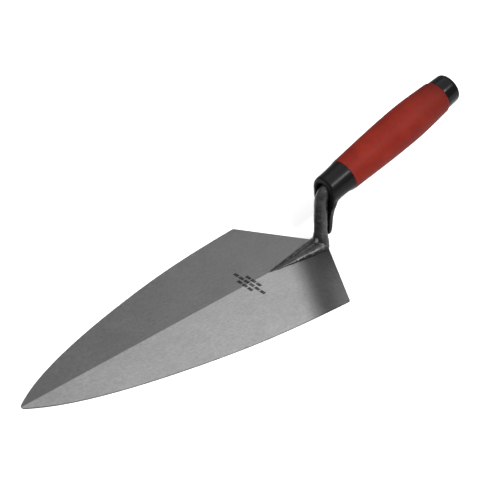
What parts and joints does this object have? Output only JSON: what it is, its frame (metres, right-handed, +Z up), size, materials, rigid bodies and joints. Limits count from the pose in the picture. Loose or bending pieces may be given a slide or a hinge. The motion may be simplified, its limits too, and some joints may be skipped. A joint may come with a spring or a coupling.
{
  "type": "brick trowel",
  "caption": "Brick trowel with a kite-shaped ground steel blade, cranked forged shank, finger guard and barrel-shaped soft grip.",
  "frame": {"origin": "centre line of the flat sole, on the sole, 10 mm ahead of the heel of the blade and just ahead of the neck of the shank", "axes": "+X along the centre line from the shank to the point of the blade, +Y to the left of the tool, +Z up out of the blade's top face"},
  "size_m": [0.4199, 0.136, 0.0984],
  "materials": {
    "ground_steel": "satin ground steel, flat bright facets with fine grinding grain",
    "black_lacquer": "black lacquer over rough forging",
    "black_guard": "smooth semi-gloss black moulding",
    "core_plastic": "hidden hard moulding",
    "red_grip": "soft matte red, finely mottled",
    "black_cap": "glossy black moulding"
  },
  "bodies": {
    "root": {"blade": "ground_steel", "shank": "black_lacquer", "finger_guard": "black_guard", "handle_core": "core_plastic", "grip_sleeve": "red_grip", "end_cap": "black_cap"}
  },
  "joints": []
}
